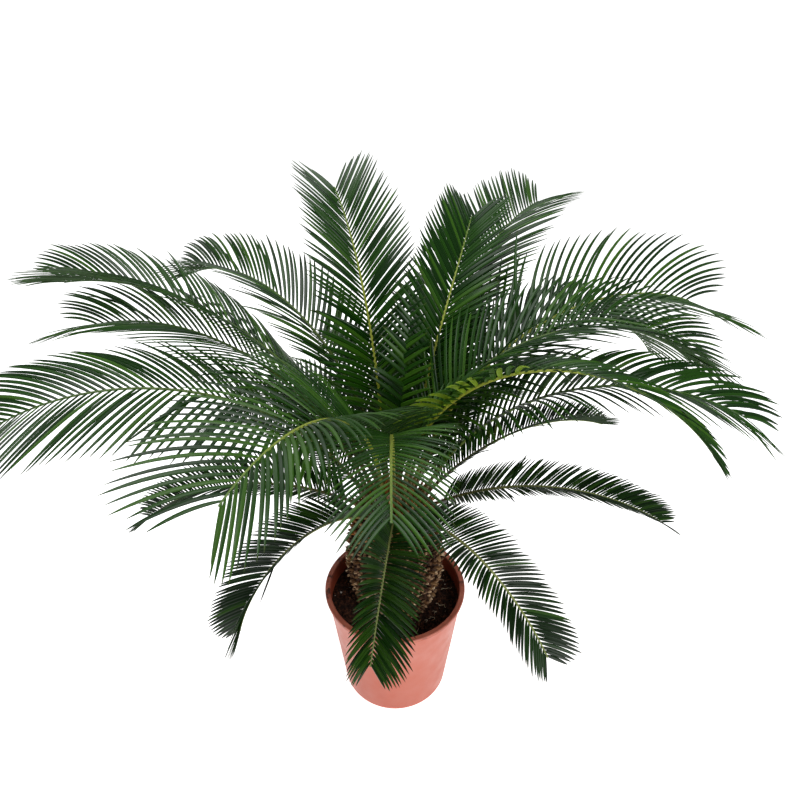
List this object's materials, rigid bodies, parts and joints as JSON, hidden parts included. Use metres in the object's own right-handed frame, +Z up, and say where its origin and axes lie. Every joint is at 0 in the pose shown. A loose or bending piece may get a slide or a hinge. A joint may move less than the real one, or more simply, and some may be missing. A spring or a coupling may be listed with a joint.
{
  "type": "potted sago palm",
  "caption": "Young sago palm in a round tapered nursery pot: short scaly trunk, woolly crown, low older fronds and a full fan of long arching fronds with narrow leaflets.",
  "frame": {"origin": "centre of the flat underside of the pot", "axes": "+Z up along the trunk, -Y towards the front, +X to the right seen from the front"},
  "size_m": [1.2466, 1.0225, 0.9297],
  "materials": {
    "pot_plastic": "satin",
    "potting_soil": "matte",
    "trunk_scales": "matte",
    "crown_wool": "matte",
    "young_frond": "satin",
    "old_frond": "satin"
  },
  "bodies": {
    "root": {"pot": "pot_plastic", "soil": "potting_soil", "trunk": "trunk_scales", "crown": "crown_wool", "young_frond_01": "young_frond", "young_frond_02": "young_frond", "young_frond_03": "young_frond", "young_frond_04": "young_frond", "young_frond_05": "young_frond", "young_frond_06": "young_frond", "young_frond_07": "young_frond", "young_frond_08": "young_frond", "young_frond_09": "young_frond", "young_frond_10": "young_frond", "young_frond_11": "young_frond", "young_frond_12": "young_frond", "young_frond_13": "young_frond", "young_frond_14": "young_frond", "young_frond_15": "young_frond", "young_frond_16": "young_frond", "young_frond_17": "young_frond", "old_frond_01": "old_frond", "old_frond_02": "old_frond", "old_frond_03": "old_frond", "old_frond_04": "old_frond", "old_frond_05": "old_frond", "old_frond_06": "old_frond", "old_frond_07": "old_frond", "old_frond_08": "old_frond", "old_frond_09": "old_frond", "old_frond_10": "old_frond"}
  },
  "joints": []
}
